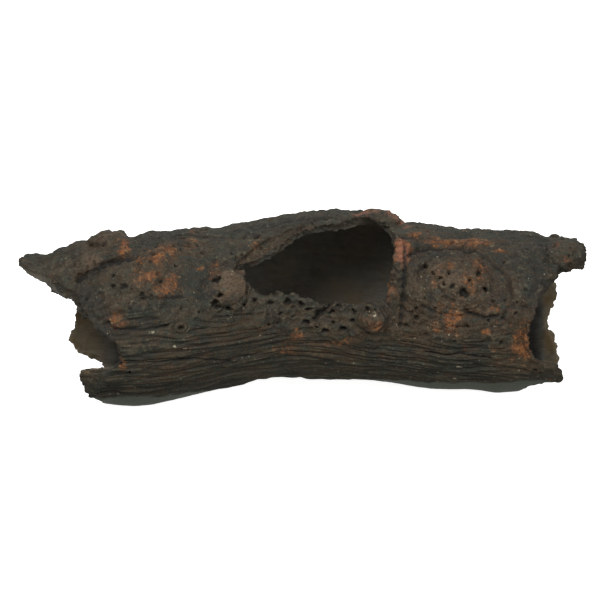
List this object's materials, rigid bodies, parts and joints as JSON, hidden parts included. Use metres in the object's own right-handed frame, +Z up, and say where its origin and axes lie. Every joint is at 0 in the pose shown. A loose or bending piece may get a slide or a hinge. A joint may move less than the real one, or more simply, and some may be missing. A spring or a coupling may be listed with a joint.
{
  "type": "hollow log cave ornament",
  "caption": "Hollow broken log, open at both ends with a torn window in its front and top, for fish to shelter in and swim through.",
  "frame": {"origin": "on the ground, under the middle of the log's bounding box", "axes": "+X along the log from its pointed spur end to its stub end, -Y is the side with the window, +Z up"},
  "size_m": [0.3, 0.1154, 0.0934],
  "materials": {
    "bark": "rough cast bark, dark grey-green with brown and rust washes",
    "underside": "smooth grey-green paint, satin",
    "torn_wood": "rough broken wood, dark brown",
    "knot": "ringed and pitted wood, brown",
    "bark_curl": "rough bark with a reddish edge"
  },
  "bodies": {
    "root": {"front_bark_shell": "bark", "rear_bark_panel": "bark", "base_pan": "underside", "left_spur": "torn_wood", "lower_left_lip": "torn_wood", "right_stub": "torn_wood", "window_bark_curl": "bark_curl", "crest_knot": "knot", "window_boss": "knot", "lower_knot": "knot", "whorl_knot": "knot"}
  },
  "joints": []
}
